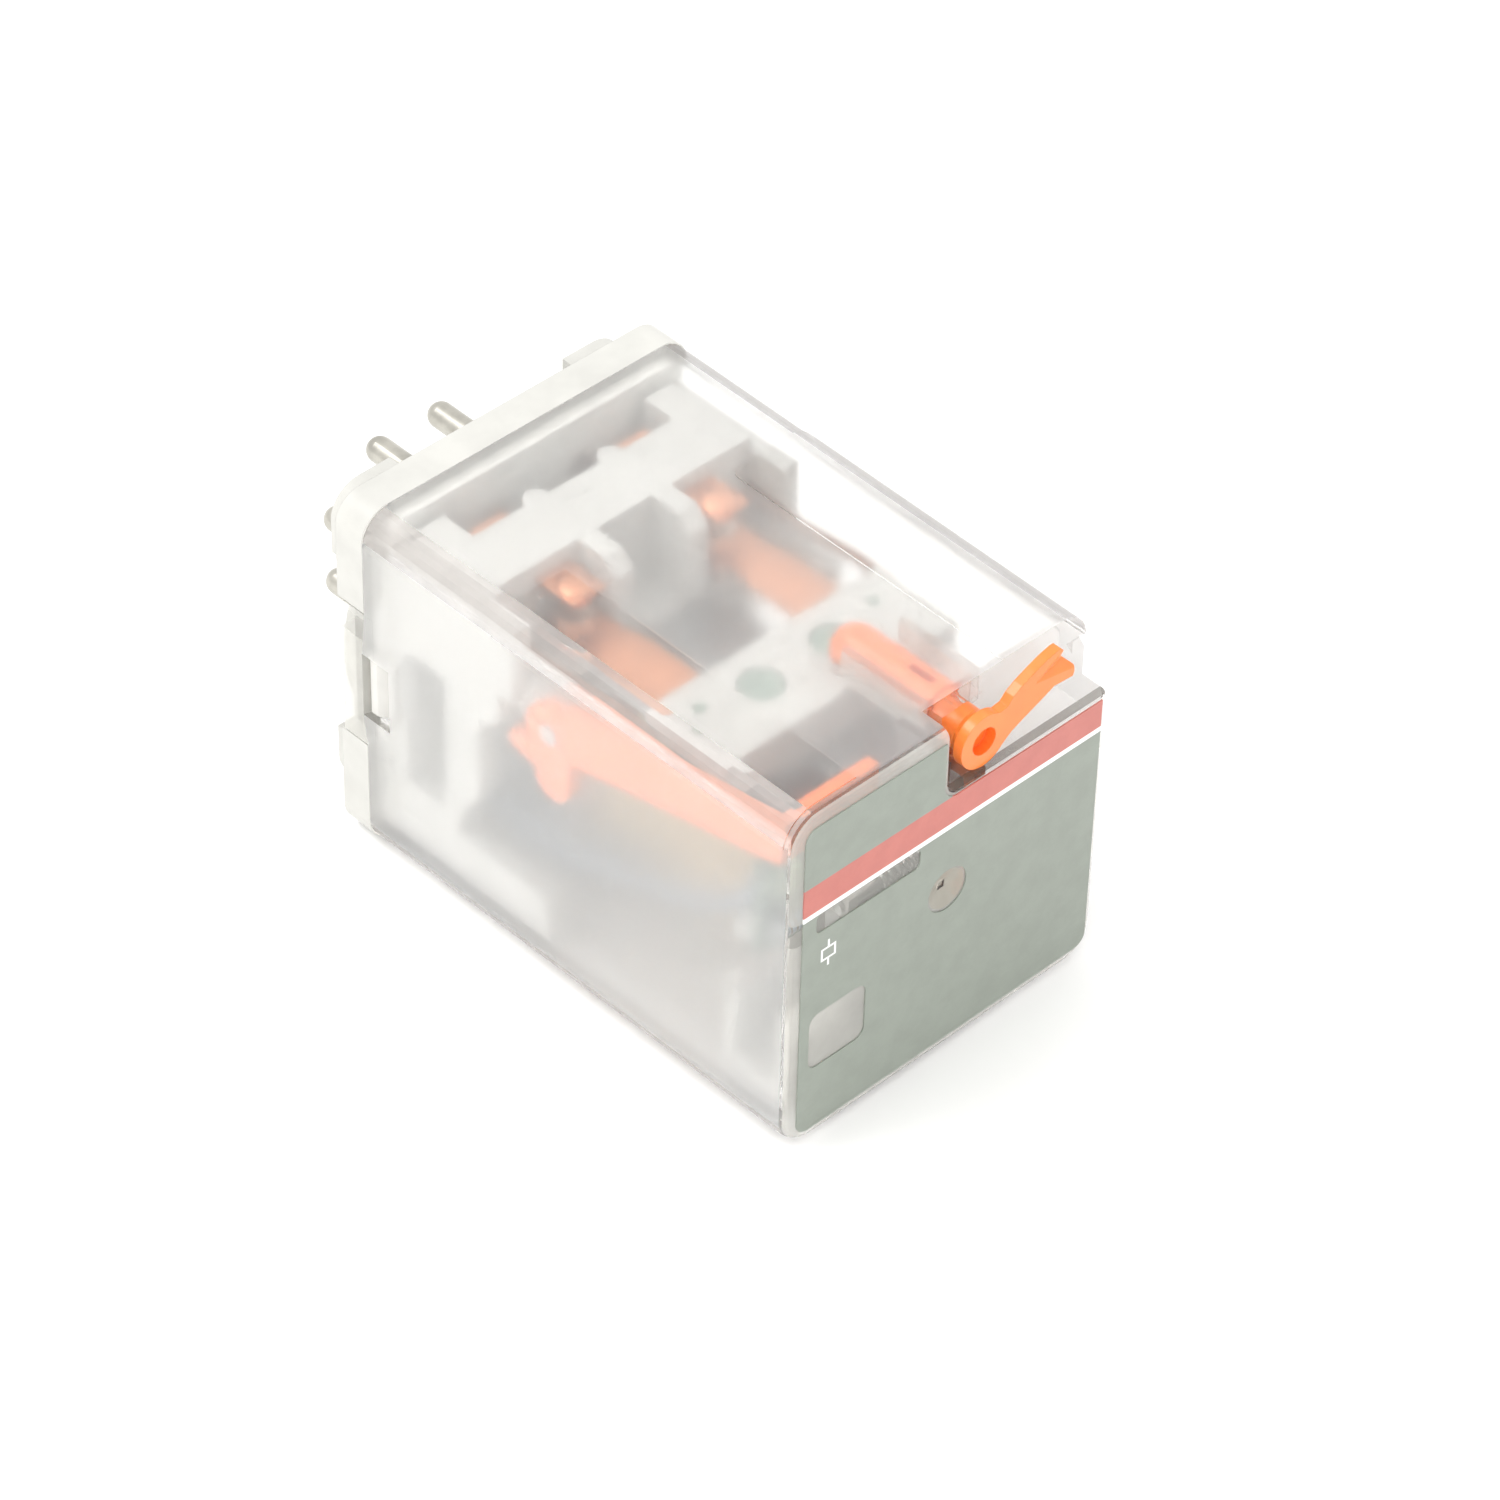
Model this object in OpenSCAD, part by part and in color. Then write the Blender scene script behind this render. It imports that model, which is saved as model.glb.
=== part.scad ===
// Two-changeover plug-in control relay with a clear cover, a front test lever and an octal plug.
// It lies as it hangs on a panel: label upright and facing -Y, pins pointing to +Y.
// The pieces are drawn from the lower edge of the front face (x = 0 in the middle), and
// seat_frame() moves them, so the origin is the centre of the pin circle on the seat plane.

/* [Case] */
// Width of the case
case_w = 35; // [34.6:0.1:35.4]
// Height of the case, with the label upright
case_h = 35; // [34.6:0.1:35.4]
// Depth from the front face to the back edge of the cover
cover_d = 48.4; // [48.2:0.1:48.6]
// Thickness of the cover's walls
wall = 1.4; // [1.2:0.1:1.5]
// Radius of the long corners of the cover
corner_r = 3; // [2.5:0.1:3.5]
// Radius round the edge of the front face
edge_r = 0.9; // [0.6:0.1:1]
// How much narrower each side is at the front, for release from the mould
draft = 0.3; // [0.1:0.1:0.3]
// Height of the polished strips above the frosted top
strip_rise = 0.12; // [0.08:0.02:0.16]

/* [Lever recess] */
// Left end of the recess
recess_x = -0.85; // [-1:0.05:-0.7]
// Depth of the recess from the front face
recess_d = 3; // [2.9:0.1:3.1]
// Height of the recess floor
recess_z = 27.75; // [27.6:0.05:27.9]

/* [Base] */
// Thickness of the base flange
flange_t = 3.2; // [3:0.1:3.3]
// Depth of the feet behind the flange, down to the seat plane
foot_h = 2.8; // [2.5:0.1:3]
// Diameter of the pin circle
pin_circle = 17.45; // [17.4:0.01:17.5]
// Diameter of one pin
pin_d = 2.36; // [2.3:0.01:2.4]
// Length of the pins beyond the seat plane
pin_len = 9.4; // [9:0.1:9.8]
// Diameter of the guide post
post_d = 7.9; // [7.7:0.1:8]
// Length of the guide post beyond the seat plane
post_len = 8.4; // [8:0.1:9]

/* [Coil and armature] */
// Height of the coil axis
coil_z = 11.8; // [11.7:0.1:11.9]
// Radius of the winding
winding_r = 8.3; // [8:0.1:8.4]
// Front end of the bobbin
bobbin_y = 8; // [7.9:0.1:8.1]
// Length of the bobbin
bobbin_len = 26.6; // [26.4:0.1:26.6]
// Thickness of the magnet steel
steel_t = 1.5; // [1.4:0.1:1.5]
// Height of the armature's hinge edge
hinge_z = 23; // [22.95:0.05:23.05]
// Distance of the hinge edge from the front face
hinge_y = 6; // [5.95:0.05:6]

/* [Contacts] */
// Distance of the two contact sets from the middle
contact_x = 7.7; // [7.6:0.05:7.8]
// Distance of the contact rivets from the front face
contact_y = 34.3; // [34.2:0.1:34.4]
// Height of the moving springs
spring_z = 27.5; // [27.4:0.05:27.5]
// Thickness of the contact strips
strip_t = 0.3; // [0.25:0.05:0.3]

/* [Test lever] */
// Sideways place of the lever's axis
lever_x = 3.6; // [3.55:0.05:3.65]
// Height of the lever's axis
lever_z = 30.6; // [30.55:0.05:30.65]
// Radius of the hub
hub_r = 2.5; // [2.4:0.05:2.5]
// Distance of the hub's front from the front face
hub_y = 0.5; // [0.4:0.05:0.5]
// Thickness of the arm
arm_t = 0.9; // [0.8:0.05:1]
// Back end of the plunger
plunger_end = 16.6; // [16.4:0.1:16.7]

/* [Flag frame] */
// Distance of the frame's pivot from the front face
flag_y = 28.4; // [28.3:0.1:28.5]
// Height of the frame's pivot
flag_z = 24.6; // [24.5:0.1:24.7]
// Thickness of the frame
flag_t = 1.1; // [1:0.1:1.2]

/* [Hidden] */
$fn = 48;
hull_fn = 32;
fit = 0.02;
mid_z = case_h / 2;
flange_y = cover_d;
flange_back = flange_y + flange_t;
seat_y = flange_back + foot_h;
inner_w = case_w - 2 * wall;
top_inner = case_h - draft - wall;
pin_r = pin_d / 2;
cream = [0.93, 0.92, 0.87];
steel = [0.62, 0.63, 0.62];
copper = [0.80, 0.45, 0.27];
orange = [0.95, 0.28, 0.08];
silver = [0.86, 0.85, 0.80];

// ---- shared shapes ----

// Puts the origin on the seat plane, in the middle of the pin circle
module seat_frame() { translate([0, -seat_y, -mid_z]) children(); }

// Extrudes an outline drawn in x and z, from y0 over a depth of t
module xz_plate(y0, t) { translate([0, y0 + t, 0]) rotate([90, 0, 0]) linear_extrude(t) children(); }

// Extrudes an outline drawn in y and z, from x0 over a width of t
module yz_plate(x0, t) { translate([x0, 0, 0]) rotate([90, 0, 90]) linear_extrude(t) children(); }

module rod_y(x, z, y0, y1, r) { translate([x, y1, z]) rotate([90, 0, 0]) cylinder(r = r, h = y1 - y0); }

module rod_x(y, z, x0, x1, r) { translate([x0, y, z]) rotate([0, 90, 0]) cylinder(r = r, h = x1 - x0); }

module rod_z(x, y, z0, z1, r) { translate([x, y, z0]) cylinder(r = r, h = z1 - z0); }

module box(x0, x1, y0, y1, z0, z1) { translate([x0, y0, z0]) cube([x1 - x0, y1 - y0, z1 - z0]); }

// A box and its mirror image on the other side
module box_pair(x0, x1, y0, y1, z0, z1) {
    for (side = [0, 1]) mirror([side, 0, 0]) box(x0, x1, y0, y1, z0, z1);
}

module rounded_rect(w, h, r) {
    square([w - 2 * r, h], center = true);
    square([w, h - 2 * r], center = true);
    for (sx = [-1, 1], sz = [-1, 1]) translate([sx * (w / 2 - r), sz * (h / 2 - r)]) circle(r = r);
}

// A rounded rectangle between two corners
module rounded_window(x0, x1, z0, z1, r) {
    translate([(x0 + x1) / 2, (z0 + z1) / 2]) rounded_rect(x1 - x0, z1 - z0, r);
}

// A strip given by the points of its top line, drawn in y and z, of thickness t
module bent_strip(points, t) {
    polygon(concat(points, [for (i = [len(points) - 1 : -1 : 0]) points[i] + [0, -t]]));
}

// ---- tube swept along points, for the wire and the spring ----

function unit(v) = v / norm(v);
function tangent(p, i) = unit(p[min(i + 1, len(p) - 1)] - p[max(i - 1, 0)]);
function ring(p, i, r, up, sides) =
    let(t = tangent(p, i), a = unit(cross(up, t)), b = cross(t, a))
    [for (k = [0 : sides - 1]) p[i] + r * (cos(k * 360 / sides) * a + sin(k * 360 / sides) * b)];

module swept_tube(p, r, up, sides) {
    n = len(p);
    points = [for (i = [0 : n - 1]) each ring(p, i, r, up, sides)];
    walls = [for (i = [0 : n - 2], k = [0 : sides - 1])
        let(a = i * sides + k, b = i * sides + (k + 1) % sides, c = b + sides, d = a + sides)
        each [[a, b, c], [a, c, d]]];
    ends = [[for (k = [sides - 1 : -1 : 0]) k], [for (k = [0 : sides - 1]) (n - 1) * sides + k]];
    polyhedron(points, concat(walls, ends));
}

// A smooth curve through hand-picked points
function curve_point(p, i, t) =
    let(a = p[max(i - 1, 0)], b = p[i], c = p[i + 1], d = p[min(i + 2, len(p) - 1)])
    0.5 * ((2 * b) + (c - a) * t + (2 * a - 5 * b + 4 * c - d) * t * t
        + (3 * b - a - 3 * c + d) * t * t * t);
function smooth_curve(p, steps) = concat(
    [for (i = [0 : len(p) - 2], k = [0 : steps - 1]) curve_point(p, i, k / steps)],
    [p[len(p) - 1]]);

// ---- base and plug ----

foot_half = 15.6;
foot_in_r = 16.5;
disc_r = 16;
disc_h = 1.2;
plinth_y = 47.3;
shank_r = 1;
gap_z0 = 11.1;
gap_z1 = 25.2;
snap_z0 = 14.5;
snap_z1 = 20.5;

// A foot fills one corner, between an arc about the plug's axis and a rounded square
module corner_foot() {
    foot_reach = 9.3;
    foot_corner = 3;
    intersection() {
        difference() {
            rounded_rect(2 * foot_half, 2 * foot_half, foot_corner);
            circle(r = foot_in_r);
        }
        translate([foot_reach, foot_reach]) square(foot_half);
    }
}

module guide_post() {
    key_w = 2.3;
    key_r = 5;
    post_y1 = seat_y + post_len;
    bevel = 0.8;
    rod_y(0, mid_z, flange_back, post_y1 - bevel, post_d / 2);
    translate([0, post_y1, mid_z]) rotate([90, 0, 0])
        cylinder(r1 = post_d / 2 - bevel, r2 = post_d / 2, h = bevel);
    box(-key_w / 2, key_w / 2, flange_back, post_y1 - bevel, mid_z - key_r, mid_z);
}

module pin_places() {
    for (k = [0 : 7]) rotate([0, 22.5 + 45 * k, 0]) translate([pin_circle / 2, 0, 0]) children();
}

module base() {
    plinth_w = inner_w - 0.3;
    flange_r = 2.6;
    snap_x = inner_w / 2 + 0.9;
    color(cream) seat_frame() difference() {
        union() {
            xz_plate(flange_y, flange_t) translate([0, mid_z]) rounded_rect(case_w, case_h, flange_r);
            xz_plate(plinth_y, flange_y - plinth_y) translate([0, mid_z])
                rounded_rect(plinth_w, plinth_w, 1.6);
            xz_plate(flange_back, disc_h) translate([0, mid_z]) circle(r = disc_r);
            for (quarter = [0 : 3]) xz_plate(flange_back, foot_h) translate([0, mid_z])
                rotate(90 * quarter) corner_foot();
            guide_post();
            for (side = [0, 1]) mirror([side, 0, 0]) translate([0, 0, snap_z0])
                linear_extrude(snap_z1 - snap_z0)
                polygon([[15.4, 45.9], [plinth_w / 2 + 0.1, 45.9], [snap_x, 47.6],
                    [snap_x, flange_y], [15, flange_y], [15, plinth_y], [15.4, plinth_y]]);
        }
        box_pair(-case_w / 2 - 1, -inner_w / 2, flange_y - fit, seat_y, gap_z0, gap_z1);
        translate([0, 0, mid_z]) pin_places() rod_y(0, 0, plinth_y - 2, seat_y, shank_r + fit);
    }
}

module octal_pins() {
    pin_y1 = seat_y + pin_len;
    color(silver) seat_frame() translate([0, 0, mid_z]) pin_places() {
        rod_y(0, 0, 45.5, flange_back + disc_h + 0.1, shank_r);
        rod_y(0, 0, flange_back + disc_h + fit, pin_y1 - pin_r, pin_r);
        translate([0, pin_y1 - pin_r, 0]) sphere(r = pin_r);
    }
}

// Flat links on the inner face of the base, from each pin towards the contact sets or the coil
module terminal_straps() {
    link_y = plinth_y - 0.8;
    link_w = 1.8;
    color(copper) seat_frame() translate([0, 0, mid_z]) difference() {
        pin_places() xz_plate(link_y, 0.7) union() {
            circle(r = shank_r + 0.8);
            translate([0, -link_w / 2]) square([4.4, link_w]);
        }
        pin_places() rod_y(0, 0, link_y - 1, link_y + 2, shank_r + fit);
    }
}

// ---- contact block ----

block_x = 13.8;
block_y = 37;
block_top = 32.6;
fin_x = 4;
fin_t = 2;
fin_y = 32.6;
fin_z = 24.2;

// Outline of a side wall, drawn in y and z
module side_outline() {
    back = plinth_y - fit;
    polygon([[back, 2.2], [back, 31.6], [33, 31.6], [33, 24.6], [34.5, 24.6], [34.5, 21.6],
        [37, 19.6], [37, 12], [39.5, 8], [39.5, 6.4], [29, 6.4], [29, 2.2]]);
}

module partition_fin() {
    chamfer = 1.4;
    yz_plate(-fin_t / 2, fin_t) polygon([[block_y + 0.5, fin_z], [block_y + 0.5, block_top],
        [fin_y + chamfer, block_top], [fin_y, block_top - chamfer], [fin_y, fin_z]]);
}

module contact_block() {
    window_x = 10.8;
    window_y = 42.8;
    stud_r = 1.2;
    side_x = 13.6;
    side_t = 1.7;
    arm_x = 12.9;
    color(cream) seat_frame() difference() {
        union() {
            box(-block_x, block_x, block_y, plinth_y - 1, 18, block_top);
            box(-block_x, block_x, 40.5, plinth_y - 1, 2.2, 18);
            box(-block_x, block_x, 33.2, block_y + 0.5, hinge_z + 0.05, 24.3);
            for (sx = [-1, 1]) translate([sx * fin_x, 0, 0]) partition_fin();
            for (side = [0, 1]) mirror([side, 0, 0]) {
                yz_plate(side_x, side_t) side_outline();
                box(arm_x, arm_x + 1.1, flag_y - 2, 34.5, flag_z - 1.8, flag_z + 1.8);
            }
        }
        difference() {
            box(-window_x, window_x, window_y, plinth_y, 23, block_top + 1);
            for (sx = [-1, 1]) rod_z(sx * fin_x, window_y, 22, block_top + 2, stud_r);
        }
        box_pair(9, block_x + 3, 41, 45.6, 8, 22);
        box(-window_x, window_x, window_y, 45.2, 4, 24);
        for (sx = [-1, 1]) {
            for (z = [contact_z_upper(), contact_z_lower()])
                box(sx * contact_x - 1.9, sx * contact_x + 1.9, block_y - 1, window_y + 1,
                    z - 0.4 - fit, z + fit);
            rod_y(sx * 6.4, 20.6, 30, 39.5, 0.8 + fit);
            rod_x(flag_y, flag_z, sx > 0 ? 12 : -15, sx > 0 ? 15 : -12, 0.95 + fit);
        }
        for (k = [0 : 7]) translate([0, 0, mid_z]) pin_places() rod_y(0, 0, 45, plinth_y, 2.2);
    }
}

// ---- cover ----

// One thin slice of the outer form: inset is how far it stands in from the full size
module slice(y, inset, r, fn) {
    xz_plate(y, 0.01) translate([0, mid_z])
        rounded_rect(case_w - 2 * inset, case_h - 2 * inset, r, $fn = fn);
}

// The outer form of the cover, grown by extra on every long side
module cover_form(extra) {
    hull() {
        for (a = [0 : 15 : 90])
            slice(edge_r * (1 - sin(a)) - extra * 0.001, draft + edge_r * (1 - cos(a)) - extra,
                corner_r - edge_r * (1 - cos(a)) + extra, hull_fn);
        slice(cover_d - 0.01, -extra, corner_r + extra, hull_fn);
    }
}

module cover_cavity() {
    inner_r = corner_r - wall;
    hull() {
        slice(wall, draft + wall + 0.3, inner_r, hull_fn);
        slice(wall + 0.3, draft + wall, inner_r, hull_fn);
        slice(cover_d + 1, wall, inner_r, hull_fn);
    }
}

// The opening for the lever, drawn in x and z, with one rounded lower corner
module recess_outline() {
    r = 1.5;
    translate([recess_x, recess_z + r]) square([30, 20]);
    translate([recess_x + r, recess_z]) square([30, 20]);
    translate([recess_x + r, recess_z + r]) circle(r = r);
}

module lever_slot() {
    slot_r = 2.2;
    rod_y(lever_x, lever_z, recess_d - 1, recess_d + wall + 1, slot_r);
    box(lever_x - slot_r, lever_x + slot_r, recess_d - 1, recess_d + wall + 1, lever_z, top_inner - 0.6);
}

// A rib that guides the plunger from above, with a round back end
module guide_rib(x, y1, z0) {
    rib_t = 0.9;
    rod_z(x + rib_t / 2, y1 - rib_t / 2, z0, top_inner + 0.3, rib_t / 2);
    box(x, x + rib_t, recess_d + 0.5, y1 - rib_t / 2, z0, top_inner + 0.3);
}

module cover() {
    strip_back = 33.3;
    strip_x = -9.7;
    pad_x = 7.8;
    pad_r = 1.2;
    tab_z0 = gap_z0 + 0.15;
    tab_z1 = gap_z1 - 0.15;
    snap_gap = 0.25;
    gate_x = -0.3;
    gate_z = 18;
    color([0.9, 0.92, 0.9, 0.35]) seat_frame() difference() {
        union() {
            difference() {
                union() {
                    cover_form(0);
                    intersection() {
                        cover_form(strip_rise);
                        union() {
                            box(-case_w, strip_x, edge_r + 0.2, strip_back, case_h - corner_r, case_h + 1);
                            box(pad_x, case_w, recess_d - 1, strip_back - pad_r, case_h - corner_r,
                                case_h + 1);
                            box(pad_x + pad_r, case_w, recess_d - 1, strip_back,
                                case_h - corner_r, case_h + 1);
                            rod_z(pad_x + pad_r, strip_back - pad_r, case_h - corner_r, case_h + 1, pad_r);
                        }
                    }
                    box_pair(-case_w / 2, -inner_w / 2, cover_d - 1, flange_back - 0.4, tab_z0, tab_z1);
                }
                cover_cavity();
            }
            intersection() {
                cover_form(0);
                box(recess_x - wall, case_w, 0, recess_d + wall, recess_z - wall, case_h);
            }
            guide_rib(5.95, 12.6, 30.4);
            guide_rib(0.35, 13.2, 30.4);
        }
        xz_plate(-1, recess_d + 1) recess_outline();
        lever_slot();
        box_pair(-case_w, -inner_w / 2 + 2, 45.9 - snap_gap, flange_y + 0.4,
            snap_z0 - snap_gap, snap_z1 + snap_gap);
        translate([case_w / 2 - draft, recess_d, 31.25]) rotate([45, 0, 0])
            cube([2.8, 0.9, 0.9], center = true);
        translate([gate_x, -0.01, gate_z]) rotate([-90, 0, 0]) cylinder(r1 = 1.9, r2 = 0.5, h = 0.6);
        box(gate_x - 0.35, gate_x + 0.35, 0, 0.8, gate_z - 0.35, gate_z + 0.35);
    }
}

// ---- label ----

label_t = 0.12;

module front_label() {
    x0 = -16;
    x1 = 16.3;
    z0 = 1.5;
    z1 = 33.6;
    band_top = 27.6;
    r = 1.2;
    color([0.19, 0.23, 0.21]) seat_frame() xz_plate(-label_t, label_t) difference() {
        rounded_window(x0, x1, z0, z1, r);
        translate([-0.3, band_top - recess_z]) recess_outline();
        rounded_window(-14.6, -3.5, 22.4, 24.35, 0.5);
        rounded_window(-15, -8.9, 8, 13.75, 1);
        translate([-0.3, 18]) circle(r = 2.1);
    }
}

// ---- coil ----

bobbin_end = bobbin_y + bobbin_len;
cheek_t = 1.2;
cheek_w = 18.4;
bore_r = 3.1;
core_r = 3.05;
tube_r = 4.2;
wound_y0 = bobbin_y + cheek_t + 0.1;
wound_y1 = bobbin_end - cheek_t - 0.1;
spring_y = 3;
coil_spring_z = 19.6;

module coil_bobbin() {
    color([0.90, 0.89, 0.84]) seat_frame() difference() {
        union() {
            for (y = [bobbin_y, bobbin_end - cheek_t]) xz_plate(y, cheek_t)
                translate([0, coil_z]) rounded_rect(cheek_w, cheek_w, 1.5);
            rod_y(0, coil_z, bobbin_y, bobbin_end, tube_r);
            box(-14.6, -8.6, 2.4, bobbin_y + cheek_t, 2.4, 3.8);
            box(-14.6, -5.9, 2.4, 3.4, 2.4, 11.4);
            box(-14.6, -8.6, bobbin_y, bobbin_y + cheek_t, 2.4, 10);
            rod_x(bobbin_y + 1.9, 8.2, -12.6, -9.2, 1.6);
            box(-8.9, -7.9, 2.1, bobbin_y + cheek_t, 18.5, 20.7);
            box(-13.6, -8.6, board_y + 1 + fit, bobbin_y + cheek_t, 15.8, 17.4);
        }
        rod_y(0, coil_z, bobbin_y - 1, bobbin_end + 1, bore_r);
        rod_x(spring_y, coil_spring_z, -10, -7, 0.55 + fit);
    }
}

module coil_winding() {
    color([0.66, 0.33, 0.20]) seat_frame() difference() {
        rod_y(0, coil_z, wound_y0, wound_y1, winding_r);
        rod_y(0, coil_z, wound_y0 - 1, wound_y1 + 1, tube_r + fit);
    }
}

module coil_tape() {
    margin = 3;
    color([0.80, 0.66, 0.40]) seat_frame() difference() {
        rod_y(0, coil_z, wound_y0 + margin, wound_y1 - margin, winding_r + 0.15);
        rod_y(0, coil_z, wound_y0, wound_y1, winding_r + fit);
    }
}

pole_y = 6.9;
pole_r = 5;
shade_r = 3.7;
shade_w = 0.9;

module coil_core() {
    color(steel) seat_frame() difference() {
        union() {
            rod_y(0, coil_z, pole_y, bobbin_end + 0.3 + steel_t, core_r);
            rod_y(0, coil_z, pole_y, bobbin_y - fit, pole_r);
        }
        difference() {
            rod_y(0, coil_z, pole_y - 1, pole_y + 0.6, shade_r + fit);
            rod_y(0, coil_z, pole_y - 2, pole_y + 1, shade_r - shade_w - fit);
        }
    }
}

module shading_ring() {
    color(copper) seat_frame() difference() {
        rod_y(0, coil_z, pole_y, pole_y + 0.58, shade_r);
        rod_y(0, coil_z, pole_y - 1, pole_y + 1, shade_r - shade_w);
    }
}

yoke_y = bobbin_end + 0.3;

module yoke() {
    limb_x = 6.5;
    back_x = 8;
    color(steel) seat_frame() difference() {
        union() {
            box(-back_x, back_x, yoke_y, yoke_y + steel_t, 3.4, hinge_z);
            box(-limb_x, limb_x, hinge_y + 0.15, yoke_y + steel_t, hinge_z - steel_t, hinge_z);
        }
        rod_y(0, coil_z, yoke_y - 1, yoke_y + steel_t + 1, core_r + fit);
        for (sx = [-1, 1]) rod_y(sx * 6.4, 20.6, yoke_y - 1, yoke_y + steel_t + 1, 0.8 + fit);
    }
}

module yoke_rivets() {
    color(silver) seat_frame() for (sx = [-1, 1]) rod_y(sx * 6.4, 20.6, yoke_y, 39.3, 0.8);
}

// Insulated wire from the back of the block to the board behind the label
module coil_lead() {
    route = [[-11.9, 40.3, 9.4], [-12, 37.5, 8.6], [-12, 31.2, 8.5], [-12, 24.2, 10.7],
        [-12, 16.8, 13.4], [-12.2, 11.4, 16.4], [-12.4, 8.9, 19], [-12.4, 8.2, 21.6]];
    color([0.48, 0.53, 0.58]) seat_frame() swept_tube(smooth_curve(route, 5), 0.75, [1, 0, 0], 8);
}

// ---- armature and moving contacts ----

plate_x = 7.5;
plate_y = hinge_y - 0.1 - steel_t;
arm_z = hinge_z + 1;
arm_top = arm_z + steel_t;
carrier_y0 = 12.2;
carrier_y1 = 21.2;
carrier_x = 12.4;
carrier_top = 29.7;

module armature() {
    neck_x = 4.2;
    wide_x = 7;
    color([0.66, 0.66, 0.64]) seat_frame() {
        box(-plate_x, plate_x, plate_y, plate_y + steel_t, 4, arm_z - 0.6);
        box(-neck_x, neck_x, plate_y, plate_y + steel_t, arm_z - 0.6, arm_top);
        box(-neck_x, neck_x, plate_y, carrier_y0, arm_z, arm_top);
        difference() {
            box(-wide_x, wide_x, carrier_y0 - 1, carrier_y1 - 0.6, arm_z, arm_top);
            for (sx = [-1, 1]) rod_z(sx * 3.9, 17.3, arm_z - 1, arm_top + 1, 0.9 + fit);
        }
    }
}

// Brown laminate sheet between the magnet and the contact carrier
module insulating_plate() {
    color([0.42, 0.20, 0.13]) seat_frame() difference() {
        box(-11, 11, hinge_y + 1.2, carrier_y1, arm_z - 0.65, arm_z - 0.05);
        for (sx = [-1, 1]) rod_z(sx * 3.9, 17.3, arm_z - 2, arm_z + 1, 0.9 + fit);
    }
}

module contact_carrier() {
    shelf_z = spring_z + strip_t + fit;
    tie_x = 5.1;
    color(cream) seat_frame() difference() {
        union() {
            box(-carrier_x, carrier_x, carrier_y0, carrier_y1, shelf_z, carrier_top);
            box(-tie_x, tie_x, carrier_y0, carrier_y1 - 1, arm_top + fit, shelf_z + fit);
            box(-7, 7, carrier_y0, carrier_y1 - 1, arm_top + fit, spring_z - fit);
            box(-11, 11, carrier_y0, carrier_y1 - 2, spring_z - 1.4, spring_z - fit);
            box_pair(6.8, carrier_x, carrier_y0, carrier_y0 + 3, spring_z - 1.4, shelf_z + fit);
        }
        for (sx = [-1, 1]) {
            rod_z(sx * 3.9, 17.3, arm_top - 1, carrier_top + 1, 0.9 + fit);
            rod_z(sx * 3.9, 17.3, carrier_top - 0.5, carrier_top + 1, 1.95);
            rod_z(sx * 9.4, 18.4, spring_z - 3, carrier_top + 1, 0.5 + fit);
        }
    }
}

// Two large rivets through the armature and two small ones through the springs
module carrier_rivets() {
    color([0.50, 0.56, 0.50]) seat_frame() for (sx = [-1, 1]) {
        rod_z(sx * 3.9, 17.3, arm_z - 0.7, carrier_top - 0.4, 0.9);
        rod_z(sx * 3.9, 17.3, carrier_top - 0.48, carrier_top - 0.1, 1.85);
        rod_z(sx * 9.4, 18.4, spring_z - 1.6, carrier_top + 0.1, 0.5);
    }
}

// Leaf spring: wide at the root, narrow at the contact
module moving_spring(sx) {
    root_w = 5;
    tip_w = 4;
    y0 = carrier_y0 + 3.2;
    tip_y = contact_y + 1.3;
    color(copper) seat_frame() difference() {
        translate([sx * contact_x, 0, spring_z]) linear_extrude(strip_t)
            polygon([[-root_w / 2, y0], [root_w / 2, y0], [root_w / 2, 28], [tip_w / 2, 31],
                [tip_w / 2, tip_y], [-tip_w / 2, tip_y], [-tip_w / 2, 31], [-root_w / 2, 28]]);
        rod_z(sx * contact_x, contact_y, spring_z - 1, spring_z + 1, 0.7 + fit);
        rod_z(sx * 9.4, 18.4, spring_z - 1, spring_z + 1, 0.5 + fit);
    }
}

module moving_spring_left() { moving_spring(-1); }

module moving_spring_right() { moving_spring(1); }

head_h = 0.6;
head_r = 1.5;

module moving_contacts() {
    color(silver) seat_frame() for (sx = [-1, 1]) {
        rod_z(sx * contact_x, contact_y, spring_z - head_h, spring_z - fit, head_r);
        rod_z(sx * contact_x, contact_y, spring_z - 0.1, spring_z + strip_t + 0.1, 0.7);
        rod_z(sx * contact_x, contact_y, spring_z + strip_t + fit, spring_z + strip_t + head_h, head_r);
    }
}

// ---- fixed contacts ----

travel = 1.6;
function contact_z_lower() = spring_z - 2 * head_h - 0.1;
function contact_z_upper() = spring_z + strip_t + 2 * head_h + travel + 0.1 + 0.4;

// A flat strip out of the block, with its top face at z and the end bent down behind the crossbar
module fixed_contact(sx, z, end_y) {
    strip_w = 3.6;
    t = 0.4;
    color(copper) seat_frame() difference() {
        union() {
            box(sx * contact_x - strip_w / 2, sx * contact_x + strip_w / 2, contact_y - 1.7, end_y, z - t, z);
            box(sx * contact_x - 1, sx * contact_x + 1, end_y - t, end_y, 19, z);
        }
        rod_z(sx * contact_x, contact_y, z - 2, z + 1, 0.7 + fit);
    }
}

module upper_contact_left() { fixed_contact(-1, contact_z_upper(), 44.8); }

module upper_contact_right() { fixed_contact(1, contact_z_upper(), 44.8); }

module lower_contact_left() { fixed_contact(-1, contact_z_lower(), 43.6); }

module lower_contact_right() { fixed_contact(1, contact_z_lower(), 43.6); }

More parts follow.
